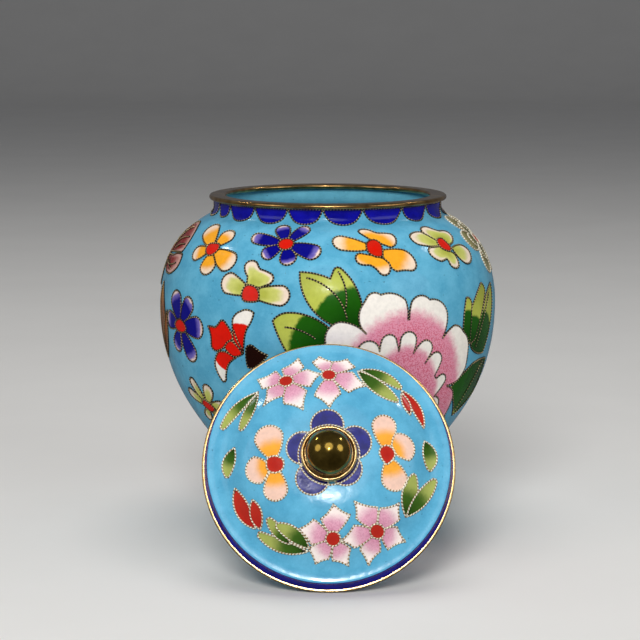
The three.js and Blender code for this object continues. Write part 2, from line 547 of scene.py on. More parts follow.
class Value:
    """A node's output that can be used in arithmetic."""

    def __init__(self, finish, socket):
        self.finish, self.socket = finish, socket

    def maths(self, operation, *others):
        return self.finish.node("ShaderNodeMath", {"operation": operation}, dict(enumerate(others)))

    def __add__(self, other):
        return self.maths("ADD", self, other)

    def __radd__(self, other):
        return self.maths("ADD", other, self)

    def __sub__(self, other):
        return self.maths("SUBTRACT", self, other)

    def __rsub__(self, other):
        return self.maths("SUBTRACT", other, self)

    def __mul__(self, other):
        return self.maths("MULTIPLY", self, other)

    def __rmul__(self, other):
        return self.maths("MULTIPLY", other, self)

    def step(self, low, high):
        """0 below low, 1 above high and smooth between them."""
        settings = {"interpolation_type": "SMOOTHSTEP"}
        sockets = {"Value": self, "From Min": low, "From Max": high}
        return self.finish.node("ShaderNodeMapRange", settings, sockets)


class Finish:
    """A material under construction."""

    def __init__(self, name, **constants):
        self.material = bpy.data.materials.new(name)
        self.material.use_nodes = True
        self.tree = self.material.node_tree
        self.shader = self.tree.nodes["Principled BSDF"]
        for socket, value in constants.items():
            name = socket.replace("_", " ").title().replace("Ior", "IOR")
            self.shader.inputs[name].default_value = value

    def node(self, kind, settings=None, sockets=None, output=0):
        made = self.tree.nodes.new(kind)
        for key, value in (settings or {}).items():
            setattr(made, key, value)
        for key, value in (sockets or {}).items():
            self.join(made.inputs[key], value)
        return Value(self, made.outputs[output])

    def join(self, socket, value):
        if isinstance(value, Value):
            self.tree.links.new(value.socket, socket)
        elif isinstance(value, tuple) and len(value) == 3 and len(socket.default_value) == 4:
            socket.default_value = (*value, 1.0)
        else:
            socket.default_value = value

    def feed(self, **sockets):
        for key, value in sockets.items():
            self.join(self.shader.inputs[key.replace("_", " ").title()], value)

    def mix(self, share, first, second, blend="MIX"):
        settings = {"data_type": "RGBA", "blend_type": blend}
        return self.node("ShaderNodeMix", settings, {0: share, 6: first, 7: second}, 2)

    def mark(self, name):
        return self.node("ShaderNodeAttribute", {"attribute_name": name}, output="Fac")

    def millimetres(self):
        place = self.node("ShaderNodeTexCoord", output="Object")
        settings = {"operation": "SCALE"}
        return self.node("ShaderNodeVectorMath", settings, {0: place, "Scale": 1 / MM})

    def noise(self, size, detail=2.0, rough=0.5, shift=0.0):
        """Noise whose patches are about size millimetres."""
        place = self.millimetres()
        if shift:
            place = self.node("ShaderNodeVectorMath", {"operation": "ADD"}, {0: place, 1: (shift,) * 3})
        sockets = {"Vector": place, "Scale": 1 / size, "Detail": detail, "Roughness": rough}
        return self.node("ShaderNodeTexNoise", sockets=sockets)

    def bump(self, height, strength, depth):
        sockets = {"Height": height, "Strength": strength, "Distance": depth * MM}
        return self.node("ShaderNodeBump", sockets=sockets)


def srgb(red, green, blue):
    """A colour of 0 to 255 as the shader wants it."""
    shares = (c / 255 for c in (red, green, blue))
    return tuple(c / 12.92 if c <= 0.04045 else ((c + 0.055) / 1.055) ** 2.4 for c in shares)


# Painted shade: a dark brown laid on the enamel along the wires, standing for shade in the crevices where
# cells meet their wires
CREVICE_SHADE = srgb(30, 26, 18)


def enamel(name, deep, light, patch=5.0, pits=0.5, shade_width=0.0):
    """A ground enamel: mottled, glossy, with a few pits, and painted shade along its wires where
    shade_width is set.
    """
    deep, light = srgb(*deep), srgb(*light)
    finish = Finish(name, specular_ior_level=0.3, coat_weight=0.1, coat_roughness=0.04)
    cloud = finish.noise(patch, 4.0, 0.6).step(0.32, 0.68)
    grain = finish.noise(0.5, 2.0, 0.6, 7.0).step(0.35, 0.75)
    colour = finish.mix(cloud * 0.75 + grain * 0.25, deep, light)
    pit = finish.noise(0.9, 1.0, 0.5, 31.0).step(0.74, 0.79)
    colour = finish.mix(pit * pits, colour, tuple(c * 0.35 for c in deep))
    # Painted shade along the wires: the ground darkens within shade_width of a cell's outline
    if shade_width:
        rim = 1 - finish.mark("edge").step(0.05, shade_width)
        colour = finish.mix(rim * 0.85, colour, CREVICE_SHADE)
    waves = finish.noise(2.2, 2.0, 0.5, 3.0)
    finish.feed(
        Base_Color=colour,
        Roughness=cloud * 0.08 + 0.14,
        Normal=finish.bump(waves - pit * 2.0, 0.5, 0.12),
    )
    return finish.material


def shaded(name, stops, speckle=0.0, shade_width=0.42, ragged=0.12, rim_pull=0.0):
    """A cell enamel that runs through several colours from the petal's root to its tip.

    stops are (share of the way, colour of 0 to 255). rim_pull draws the last colour along the outline.
    """
    stops = [(share, srgb(*colour)) for share, colour in stops]
    finish = Finish(name, specular_ior_level=0.15, coat_weight=0.05, coat_roughness=0.04)
    wander = finish.noise(1.6, 3.0, 0.65) - 0.5
    way = finish.mark("along") + wander * ragged
    if rim_pull:
        way = way + (1 - finish.mark("edge").step(0.2, 1.5)) * rim_pull
    colour = stops[0][1]
    for (low, _), (high, after) in zip(stops, stops[1:]):
        colour = finish.mix(way.step(low, high), colour, after)
    cloud = finish.noise(1.1, 3.0, 0.6, 13.0)
    colour = finish.mix(cloud.step(0.3, 0.8) * 0.4, colour, (0.72,) * 3, "MULTIPLY")
    if speckle:
        grain = finish.noise(0.36, 1.0, 0.5, 21.0).step(0.46, 0.6)
        inside = 1 - way.step(stops[-2][0] - 0.1, stops[-1][0])
        colour = finish.mix(grain * inside * speckle, colour, tuple(c ** 1.5 for c in stops[0][1]))
    # Painted shade along the wires: each cell darkens towards its outline, within shade_width of it
    rim = 1 - finish.mark("edge").step(0.1, shade_width)
    colour = finish.mix(rim * 0.8, colour, CREVICE_SHADE)
    finish.feed(
        Base_Color=colour,
        Roughness=cloud * 0.1 + 0.16,
        Normal=finish.bump(finish.noise(1.3, 2.0, 0.5, 3.0), 0.4, 0.08),
    )
    return finish.material


def wire_metal(name, crest_highlight, groove_shade, bright):
    """Twisted wire with a painted highlight on its crests and outward face and painted shade in its
    grooves and down its sides, varied slowly along it as by wear.
    """
    finish = Finish(name, metallic=0.3)
    worn = finish.noise(6.0, 2.0, 0.5) - 0.5
    # high is the share of painted highlight; below it the wire takes the painted shade colour groove_shade
    high = (finish.mark("along") + worn * 0.5).step(*bright)
    finish.feed(
        Base_Color=finish.mix(high, srgb(*groove_shade), srgb(*crest_highlight)),
        Roughness=0.55 - high * 0.25,
    )
    return finish.material


def polished(name, light, dark, rough, patch, scratch=0.02, turning=0.0):
    """Metal with a slightly uneven polish, and fine rings where it was turned on a lathe."""
    finish = Finish(name, metallic=1.0)
    cloud = finish.noise(patch, 4.0, 0.6).step(0.3, 0.75)
    fine = finish.noise(0.7, 3.0, 0.7, 5.0)
    relief = fine
    if turning:
        settings = {"operation": "DOT_PRODUCT"}
        axis = tuple(LID_OUT)
        level = finish.node("ShaderNodeVectorMath", settings, {0: finish.millimetres(), 1: axis}, "Value")
        sockets = {"W": level, "Scale": 9.0, "Detail": 2.0}
        rings = finish.node("ShaderNodeTexNoise", {"noise_dimensions": "1D"}, sockets)
        relief = fine + rings * turning
    finish.feed(
        Base_Color=finish.mix(cloud * 0.7 + fine * 0.3, srgb(*dark), srgb(*light)),
        Roughness=fine * 0.12 + rough,
        Normal=finish.bump(relief, 0.35, scratch),
    )
    return finish.material


ORANGE = (252, 172, 40)
BLUSH = (242, 216, 202)
CREAM = (248, 222, 196)
COBALT = (8, 8, 128)
WHITE = (250, 244, 234)

TURQUOISE = enamel("turquoise_ground", (80, 162, 196), (106, 184, 214))
LID_TURQUOISE = enamel("lid_turquoise_ground", (80, 160, 196), (102, 183, 217), patch=6)
INSIDE = enamel("turquoise_inside", (104, 182, 206), (120, 200, 222), patch=3, pits=1)
COBALT_PLAIN = enamel("cobalt", (2, 2, 128), (8, 8, 164), patch=3, pits=0.3, shade_width=0.3)
LID_COBALT = enamel("lid_cobalt", (4, 5, 94), (15, 19, 130), patch=2, pits=0.2, shade_width=0.2)

# Petals and leaves, each from its root to its tip
ORANGE_PETAL = shaded("orange_petal", [(0, (236, 140, 30)), (0.25, ORANGE), (0.62, ORANGE), (0.9, CREAM)])
BLUE_PETAL = shaded(
    "blue_petal",
    [(0, COBALT), (0.7, COBALT), (0.86, (112, 100, 184)), (0.95, BLUSH)],
    ragged=0.16,
)
GREEN_PETAL = shaded(
    "green_petal",
    [(0, (140, 138, 44)), (0.35, (180, 184, 76)), (0.66, (204, 206, 110)), (0.92, (242, 222, 200))],
    rim_pull=0.2,
)
RED_CORE = shaded("red_core", [(0, (216, 20, 2)), (1, (204, 34, 12))])
RED_PETAL = shaded("red_petal", [(0, (214, 16, 0)), (0.64, (228, 20, 0)), (0.68, WHITE)], ragged=0.05)
RED_PLAIN = shaded("red_plain", [(0, (222, 18, 0)), (1, (228, 22, 0))])
WINE_PETAL = shaded(
    "wine_petal",
    [(0, (112, 12, 10)), (0.6, (150, 32, 28)), (1, (214, 164, 154))],
    speckle=0.7,
    rim_pull=0.3,
)
OLIVE_PETAL = shaded(
    "olive_petal",
    [(0, (74, 72, 24)), (0.5, (104, 100, 44)), (0.9, (152, 146, 98))],
    speckle=0.5,
)
BRONZE_LEAF = shaded(
    "bronze_leaf",
    [(0, (112, 56, 14)), (0.6, (158, 92, 30)), (1, (196, 140, 66))],
    speckle=0.5,
)
PEONY_PINK = shaded(
    "peony",
    [(0, (224, 132, 156)), (0.74, (230, 152, 174)), (0.88, WHITE)],
    speckle=0.85,
    ragged=0.1,
)
LEAF_GREEN = shaded(
    "leaf",
    [(0, (14, 68, 2)), (0.5, (28, 92, 8)), (0.56, (190, 198, 84)), (1, (168, 174, 70))],
    ragged=0.1,
)
DARK_BUD = shaded("dark_bud", [(0, (26, 4, 0)), (1, (34, 6, 0))])
LID_PINK = shaded(
    "lid_pink_petal",
    [(0, (206, 128, 160)), (0.45, (228, 168, 190)), (0.8, (252, 238, 232))],
    speckle=0.3,
    shade_width=0.2,
)
LID_ORANGE = shaded(
    "lid_orange_petal",
    [(0, (244, 156, 40)), (0.45, (250, 172, 60)), (0.75, (244, 204, 184))],
    shade_width=0.2,
)
LID_RED = shaded("lid_red", [(0, (178, 36, 26)), (1, (192, 50, 34))], shade_width=0.2)
LID_LEAF = shaded(
    "lid_leaf",
    [(0, (34, 68, 12)), (0.42, (62, 98, 28)), (0.74, (168, 178, 92))],
    shade_width=0.2,
)

# Metals
# Lit and shaded copies of one gilt wire: the first is darkened all over as painted shade, the second
# lightened as painted light for the lid and the olive flower
SHADED_WIRE = wire_metal("jar_wire", (240, 212, 158), (12, 7, 3), (0.48, 0.84))
LIT_WIRE = wire_metal("lid_wire", (255, 250, 228), (150, 112, 64), (0.1, 0.45))
# One gilt in two copies: GILT darkened as painted shade on the rings and the mouth's lip, BRIGHT_GILT
# lightened as painted light on the collar and the lid's edge
GILT = polished("gilt", (226, 184, 118), (126, 88, 44), 0.14, 3)
BRIGHT_GILT = polished("bright_gilt", (255, 226, 164), (206, 160, 96), 0.22, 2)
BRASS = polished("polished_brass", (190, 156, 72), (78, 60, 20), 0.08, 5, scratch=0.006, turning=1.5)

jar = JarSkin()
lid = LidSkin()


def from_root(root, reach):
    """Shade of a cell: distance from its root over its reach."""
    return lambda flat: np.hypot(*(flat - np.array(root)).T) / reach


def oval(wide, high):
    return lambda flat: np.hypot(flat[:, 0] / wide, flat[:, 1] / high)


def overlaps(first, second):
    if (first.max(axis=0) < second.min(axis=0)).any() or (second.max(axis=0) < first.min(axis=0)).any():
        return False
    return is_inside(first, second).any() or is_inside(second, first).any()


class Work:
    """Enamel cells with wires round them. A later cell covers what was laid before it."""

    def __init__(self, name, metal=SHADED_WIRE):
        self.cells = Piece(name, "turquoise_enamel")
        self.wires = Piece(name + "_wires", "gilt")
        self.metal = metal
        self.laid = []
        self.lines = []

    def lay(self, skin, corners, finish, along=None):
        loop = outline(corners)
        sheet = skin.spread(loop)
        under = [old["layer"] for old in self.laid if overlaps(sheet, old["sheet"])]
        layer = min(MOST_LAYERS, 1 + max(under, default=-1))
        along = along or from_root((0, 0), np.hypot(*loop.T).max())
        made = {"skin": skin, "loop": loop, "finish": finish, "along": along, "layer": layer}
        self.laid.append({**made, "sheet": sheet})
        self.lines.append((len(self.laid), skin, loop, True))

    def draw(self, skin, corners):
        """A wire by itself, such as a leaf's vein."""
        self.lines.append((len(self.laid), skin, stroke(corners), False))

    def flower(self, skin, petals, finish, core, middle=(0.0, 0.0), core_finish=None):
        for corners in petals:
            reach = np.hypot(*(outline(corners) - middle).T).max()
            self.lay(skin, corners, finish, from_root(middle, reach))
        self.lay(skin, core, core_finish or RED_CORE, from_root(middle, 3.0))

    def build(self):
        sheets = [made.pop("sheet") for made in self.laid]
        for order, made in enumerate(self.laid, 1):
            mine = sheets[order - 1]
            cell(self.cells, **made, covers=[s for s in sheets[order:] if overlaps(mine, s)])
        for order, skin, line, closed in self.lines:
            wire(self.wires, skin, line, self.metal, closed, sheets[order:])
        self.cells.build()
        self.wires.build()


# The gilt, the grounds and the knob

def ring_outline(inner, outer, bottom, top, ease):
    """A flat ring's section with eased edges."""
    return outline([
        (inner, bottom + ease, 0.0),
        (inner, top - ease, 0.35),
        (inner + ease, top, 0.0),
        (outer - ease, top, 0.35),
        (outer, top - ease, 0.0),
        (outer, bottom + ease, 0.35),
        (outer - ease, bottom, 0.0),
        (inner + ease, bottom, 0.35),
    ])


def ring(name, node, inner, outer, bottom, top):
    piece = Piece(name, "gilt")
    section = ring_outline(inner, outer, bottom, top, (top - bottom) * RING_EASE)
    turned(piece, section, jar_place, RING_SIDES, GILT, closed=True)
    piece.build(node)


def jar_ground():
    piece = Piece("jar_ground", "turquoise_enamel")
    outside = moved_left(jar.outline, GROUND_INSET)
    inside = moved_left(body_outline(40), BODY_WALL)
    floor = FOOT_RING_HEIGHT + BODY_FLOOR
    inside = inside[(inside[:, 1] > floor + BODY_WALL) & (inside[:, 1] < BODY_TOP)]
    turned(piece, outside, jar_place, JAR_SIDES, TURQUOISE)
    lip = np.array([(outside[-1, 0], BODY_TOP), (NECK_RADIUS - BODY_WALL, BODY_TOP)])
    turned(piece, lip, jar_place, JAR_SIDES, GILT)
    bottom = bend(inside[0], (inside[0, 0], floor), (inside[0, 0] - FLOOR_BEND, floor), 6)
    within = joined([(NECK_RADIUS - BODY_WALL, BODY_TOP)], inside[::-1], bottom, [(AXIS_GAP, floor)])
    turned(piece, within, jar_place, INSIDE_SIDES, INSIDE)
    under = np.array([(AXIS_GAP, FOOT_RING_HEIGHT), outside[0]])
    turned(piece, under, jar_place, INSIDE_SIDES, INSIDE)
    piece.build("jar_body")


def lid_ground():
    piece = Piece("lid_ground", "turquoise_enamel")
    top = moved_left(lid.outline, -GROUND_INSET)
    split = int(np.argmax(top[:, 0] > SKIRT_TOP_RADIUS - GROUND_INSET - 0.12))
    turned(piece, top[: split + 1], lid_place, LID_SIDES, LID_TURQUOISE)
    turned(piece, top[split:], lid_place, LID_SIDES, COBALT_PLAIN)
    crown = lid.outline[: int(np.argmax(lid.reach >= SKIRT_TOP_RADIUS - BRIM_ROUND)) + 1]
    under = moved_left(crown, -LID_WALL)
    ring_inner = LOCATING_RADIUS - LOCATING_WALL
    level = np.interp([ring_inner, LOCATING_RADIUS], under[:, 0], under[:, 1])
    within = joined(
        under[under[:, 0] < ring_inner],
        [(ring_inner, level[0]), (ring_inner, -LOCATING_DEPTH)],
        [(LOCATING_RADIUS, -LOCATING_DEPTH), (LOCATING_RADIUS, level[1])],
        [(SKIRT_TOP_RADIUS - LID_WALL, level[1]), (LID_RADIUS - LID_WALL, 0.0)],
    )
    turned(piece, within, lid_place, INSIDE_SIDES, INSIDE)
    piece.build("lid_shell")


def lid_rim():
    """The gilt edge of the lid, thicker than the wires."""
    piece = Piece("lid_gilt_edge", "gilt")
    section = ring_outline(LID_RADIUS - LID_WALL, LID_RADIUS, 0.0, LID_EDGE_HEIGHT, 0.2)
    turned(piece, section, lid_place, LID_SIDES, BRIGHT_GILT, closed=True)
    piece.build()


def knob():
    collar = Piece("knob_collar_ring", "gilt")
    bottom = DOME_HEIGHT + SEAT_GAP
    top = bottom + COLLAR_HEIGHT
    section = joined(
        np.array([(AXIS_GAP, bottom), (COLLAR_RADIUS - COLLAR_LIP / 2, bottom)]),
        outline([
            (COLLAR_RADIUS - COLLAR_LIP / 2, bottom, 0.3),
            (COLLAR_RADIUS, top - COLLAR_LIP / 2, 0.42),
            (COLLAR_RADIUS - COLLAR_LIP / 2, top, 0.3),
            (COLLAR_RADIUS - COLLAR_LIP, top - COLLAR_LIP / 4, 0.0),
            (COLLAR_RADIUS - COLLAR_LIP, bottom + COLLAR_FLOOR, 0.0),
            (AXIS_GAP, bottom + COLLAR_FLOOR, 0.0),
        ])[:-4],
    )
    turned(collar, section, lid_place, KNOB_SIDES, BRIGHT_GILT)
    collar.build("knob_collar")
    ball = Piece("knob_polished_ball", "polished_brass")
    foot = bottom + COLLAR_FLOOR + SEAT_GAP
    centre = top + KNOB_ABOVE_COLLAR
    radius = KNOB_RADIUS - POLISHED_OFF
    low = math.asin((foot - centre) / radius)
    angles = np.linspace(low, math.pi / 2 - 0.01, 48)
    section = np.stack([radius * np.cos(angles), centre + radius * np.sin(angles)], axis=1)
    turned(ball, joined([(AXIS_GAP, foot)], section), lid_place, KNOB_SIDES, BRASS)
    ball.build("knob_ball")


# Jar: band of scallops under the mouth

SCALLOP_CUSPS = [-69, -56.6, -38.2, -19.7, -2.7, 16.7, 38.3, 56.3, 77.7]
SCALLOP_DEPTH = 4
HIDDEN_SCALLOPS = 11


def scallops():
    work = Work("jar_scallops")
    span = 360 - (SCALLOP_CUSPS[-1] - SCALLOP_CUSPS[0])
    behind = [SCALLOP_CUSPS[-1] + span * (i + 1) / HIDDEN_SCALLOPS for i in range(HIDDEN_SCALLOPS)]
    cusps = SCALLOP_CUSPS + behind
    for left, right in zip(cusps, cusps[1:]):
        skin = jar.spot((left + right) / 2, BODY_TOP)
        half = math.radians(right - left) / 2 * NECK_RADIUS - 0.1
        wide, low = half * 0.68, -SCALLOP_DEPTH * 0.72
        corners = [(-half, -0.1, 0.14), (-wide, low, 0.36), (wide, low, 0.14), (half, -0.1, 0)]
        work.lay(skin, corners, COBALT_PLAIN)
    work.build()


# Jar: flowers of the front: kind, azimuth, height, petals, core, and where they differ from the
# usual, the petals' start and root width. A petal is (angle, length, width), or a list of corners
# where it isn't round.

ROUND_CORE = [(-2.1, 0, 0.42), (0, -1.9, 0.42), (2.1, 0, 0.42), (0, 1.9, 0.42)]
FRONT_FLOWERS = [
    ("orange", -48, 78.7,
     [(138, 11, 5.8), (66, 7.2, 5.4), (-22, 10.6, 5.6), (-78, 7.4, 5.6), (-162, 7.8, 4.4)],
     [(-2.6, -0.3, 0.3), (0.1, -2, 0.3), (2.2, 0.1, 0.3), (1.2, 1.9, 0.1), (-2.5, 1.5, 0.3)]),
    ("orange", 17.5, 80.2,
     [(166, 10.7, 4.9, 1.7, 0.9, 0.1),
      [(2.2, 1.3, 0), (4.4, 0.1, 0.3), (6.5, 1.7, 0.3), (5.9, 4.6, 0.1), (2.4, 5.2, -0.15),
       (0.6, 6.3, 0.2), (-1.8, 7, 0.6), (-2.6, 5.4, 0), (-0.7, 3.1, 0)],
      [(1.7, -0.7, 0.1), (7.4, -0.8, 0.3), (10.8, -5.4, 0.5), (8.6, -7, -0.1), (5, -7, 0.2),
       (3.2, -5.6, 0.1), (1.7, -3, 0)],
      [(-0.3, -2.4, 0), (-4.4, -1.4, 0.7), (-4.6, -4.7, 0.1), (-2.3, -4.9, -0.15), (0, -7.2, 0.7),
       (3, -6.3, 0.2), (3, -4.6, 0), (1.7, -3.2, 0)]],
     [(-2.1, 0.5, 0.4), (0.3, 2.9, 0.3), (2, 1.2, 0.1), (1.6, -2.6, 0.25), (-1.1, -2.2, 0.3)]),
    ("blue", -16.5, 81.2,
     [(170, 10.3, 3.7), (112, 7.5, 4), (57, 7.9, 3.5), (-18, 9.9, 4.6), (-72, 6.6, 4.4), (-143, 7.1, 3.9)],
     ROUND_CORE, 1.6, 0.8),
    ("blue", -58, 58,
     [(112, 9.6, 6), (56, 9.3, 4.8), (3, 10.3, 5.8), (-60, 10.3, 5.4), (-118, 8, 4.6), (172, 8.6, 4.8)],
     [(-3.2, -0.4, 0.25), (-0.3, -1.7, 0.25), (3, -0.7, 0.3), (1.2, 1.5, 0.3), (-2.2, 1, 0.3)]),
    ("green", 50, 79.7,
     [[(-1.9, -0.1, 0), (-1.9, 1.3, 0.08), (-5, 5.2, 0.25), (-9.6, 4.2, 0.45), (-9, 1, 0.1)],
      [(-1.8, 1.6, 0.05), (-4.2, 4.4, 0.35), (-3.6, 6.6, 0.3), (-0.6, 6.6, -0.1), (2.2, 4.7, 0.12),
       (4.9, 4.3, 0.4), (5.7, 1.9, 0.15), (3.6, 0.2, 0), (1.4, -0.4, 0)],
      [(1.9, -1.3, 0.1), (6.2, -0.7, 0.25), (9.9, -3, 0.35), (7.6, -6.2, 0.3), (4, -5.5, 0.15),
       (2.4, -3, 0)],
      [(-2.4, -0.3, 0), (-6.3, -0.3, 0.4), (-7.2, -2.7, 0.2), (-4.6, -4.6, 0.05), (-2.2, -4.1, -0.2),
       (-1.9, -5.8, 0.55), (1.7, -6.3, 0.15), (1.8, -3, 0.05), (0.2, -1.9, 0)]],
     [(-2, 1.6, 0.3), (-2.1, -0.9, 0.1), (0.2, -2.2, 0.3), (1.8, -1, 0.1), (0.6, 2.2, 0.3)]),
    ("green", -26, 69,
     [(163, 9.7, 5.6, 2.2, 1.5, 0.06), (-2, 10.6, 5.2, 2, 1.5, 0.06),
      [(2.3, 1.5, 0), (4.1, 2.3, 0.3), (5.7, 3.7, 0.4), (4.4, 5.5, 0.08), (1.8, 6.3, -0.15),
       (0.5, 7.9, 0.25), (-1.4, 8.6, 0.4), (-3.1, 6.9, 0.15), (-1.6, 4.2, 0), (-1.5, 1.8, 0)]],
     [(-2.6, -1, 0.3), (-1.6, -2.2, 0.1), (2.1, -2, 0.35), (1.4, 1.4, 0.25), (-1.7, 1.9, 0.25)]),
    ("green", -52, 36.5,
     [(62, 7.8, 3.7), (117, 9, 2.8), (156, 8.8, 2.9), (-127, 6.2, 3), (-50, 6.5, 3.4), (8, 7.6, 3.4)],
     [(-2.7, 0.4, 0.2), (0.2, -1.9, 0.2), (2.7, -0.4, 0.2), (-1, 2, 0.2)], 1.7, 0.7),
]


def jar_flowers():
    finishes = {"orange": ORANGE_PETAL, "blue": BLUE_PETAL, "green": GREEN_PETAL}
    works = {kind: Work(f"jar_{kind}_flowers") for kind in finishes}
    for kind, azimuth, height, petals, core, *ends in FRONT_FLOWERS:
        shapes = [petal(*size, *ends) if isinstance(size, tuple) else size for size in petals]
        works[kind].flower(jar.spot(azimuth, height), shapes, finishes[kind], core)
    for work in works.values():
        work.build()


def side_flowers():
    """The wine-red flower at the left edge, the olive one at the right edge and a bronze leaf."""
    wine, olive = Work("jar_wine_flower"), Work("jar_olive_flower", LIT_WIRE)
    upper = [(-7.3, -0.6, 0), (6, 0.7, 0.25), (5.4, 5.4, 0.15), (0.5, 9.6, 0.3), (-5, 10.2, 0.2),
             (-7.6, 6, 0)]
    lower = [(-7.2, -1.4, 0), (-3.6, -4.8, 0.1), (1.5, -6, 0.2), (7.8, -3.8, 0.4), (7.2, 0.2, 0.12),
             (0.5, -0.9, 0)]
    veins = [
        [(-6.6, 1, -0.2), (3.6, 5.4, 0)],
        [(-6.8, 3.4, -0.2), (-1.4, 8.6, 0)],
        [(-2, 1, -0.15), (4.6, 3, 0)],
        [(-4.6, -3, 0.15), (5.6, -2.6, 0)],
        [(-2.6, -2.4, 0.1), (3, -4.6, 0)],
    ]
    skin = jar.spot(-76, 76)
    for turn, middle in [(0, (0, 0)), (180, (-14.5, 0))]:
        for corners in (upper, lower):
            wine.lay(skin, turned_by(corners, turn, middle), WINE_PETAL, from_root((-7.2, 0), 15))
        for vein in veins:
            wine.draw(skin, turned_by(vein, turn, middle))
    wine.lay(skin, turned_by(ROUND_CORE, 0, (-7.2, 0)), RED_CORE)

    skin = jar.spot(83, 79)
    for size in (1, 0.62):
        for angle in (0, 62, 118, 176, 236, 300):
            olive.lay(skin, petal(angle, 11 * size, 6.6 * size, 2, 1.2, 0.2), OLIVE_PETAL)
    olive.lay(skin, ROUND_CORE, RED_CORE)
    skin = jar.spot(-78, 58)
    for corners in (leaf((0, -11), (1, 10), 0.42, 0.3), leaf((0.5, -11), (7, 3), 0.3, 0.2)):
        wine.lay(skin, corners, BRONZE_LEAF, from_root((0, -11), 21))
    wine.build()
    olive.build()


def red_blossom():
    work = Work("jar_red_blossom")
    skin = jar.spot(-33, 54.5)
    star = [(-7.8, 4.9, 0.08), (-5.3, 4.8, -0.12), (-3.5, 6.6, 0.5), (-1.6, 6.2, 0.1), (0.2, 3.7, 0),
            (0.7, 2.6, 0), (-3, -0.5, 0.1), (-5.2, -1.4, 0.45), (-6.9, 0.1, -0.06), (-6.8, 2.3, -0.1)]
    right = [(0.5, 2.1, 0), (0.5, 7.2, 0.25), (3, 9.7, 0.3), (6.8, 9.6, 0.15), (5, 5.6, -0.08),
             (3.9, 2, 0), (3.4, -1.4, 0), (1.6, 0.6, 0)]
    low = [(-2.1, -1.3, 0), (-4.3, -1.4, 0.2), (-6.3, -5.6, 0.12), (-4.4, -9.9, 0.5), (-3.1, -8.6, -0.05),
           (-2, -5.4, -0.15), (1.2, -2.6, 0)]
    calyx = [(-2.3, -0.2, 0.25), (-0.1, 1.9, 0.12), (3.3, -1.4, 0.15), (0.2, -2.4, 0.15)]
    bud = [(4.4, 0.2, 0.45), (6.5, 0.9, -0.12), (10.4, -1.2, 0.1), (6.6, -4.6, 0.3), (4.4, -4.9, 0.1)]
    work.lay(skin, star, RED_PLAIN)
    work.lay(skin, right, RED_PETAL, from_root((2.6, -1), 11.5))
    work.draw(skin, [(0.8, 4.9, 0.08), (3.3, -0.3, 0)])
    work.lay(skin, low, RED_PETAL, from_root((-1, -1), 8.8))
    work.lay(skin, calyx, RED_PLAIN)
    work.lay(skin, bud, DARK_BUD)
    work.build()


# Jar: peony and its leaves. The lid hides the lower half of the front one.

PEONY_OUTER = [
    (-21.6, 17.5, 0.45), (-17.9, 22.9, 0.2), (-11.2, 19.7, 0.38), (-12.3, 26.7, 0), (-10.9, 28.7, 0.5),
    (-7, 29.5, 0.3), (-0.3, 27.8, 0.12), (0.1, 22.8, 0), (0.6, 22.8, 0.1), (1.4, 27.2, 0.5),
    (7, 27.4, 0.4), (12.9, 23.2, 0.15), (11.3, 17, 0), (12, 17.6, 0.1), (15.5, 19.9, 0.25),
    (19.4, 17.8, 0.25), (22.3, 13.6, 0.05), (22.2, 7.5, 0.12), (19.4, 4.1, 0.1), (15.1, 3.3, 0),
    (15.4, 2.9, 0.3), (19.1, -0.5, 0.12), (18.3, -7, 0), (18.6, -7.6, 0.35), (17.5, -14, 0.35),
    (10.5, -18.5, 0), (10, -18.6, 0.5), (0.2, -21, 0), (-0.4, -20.8, 0.5), (-10.5, -18, 0),
    (-10.9, -17.6, 0.45), (-18.5, -11, 0), (-18.7, -10.4, 0.4), (-22.5, -1, 0),
    (-22.5, -0.4, 0.35), (-23.6, 9, 0), (-23.4, 9.6, 0.25),
]
PEONY_INNER = [
    (-13.4, 15, 0.95), (-7.5, 15, 0.1), (-7.2, 17.2, 0.95), (-2.9, 17.2, 0.05), (-2.2, 14.7, 0),
    (-1.9, 17.2, 0.95), (2.8, 17.6, 0.08), (2.1, 13.8, 0.1), (4, 16.2, 0.9), (7.7, 13.7, 0.05),
    (6, 10.8, 0.1), (8, 12.9, 0.85), (11.3, 10.3, 0.05), (9.8, 7, -0.2), (10.6, 6, 0.1),
    (12.2, 7, 0.7), (13.7, 4.2, 0.05), (11, 0.6, 0.9), (11, -5, 0.9), (7, -9.5, 0.9),
    (1.5, -12, 0.9), (-4.5, -12, 0.9), (-10, -9, 0.9), (-13.5, -4, 0.9), (-15, 2, 0.9),
    (-15.5, 9, 0.8),
]
HEART_LOBES = 7
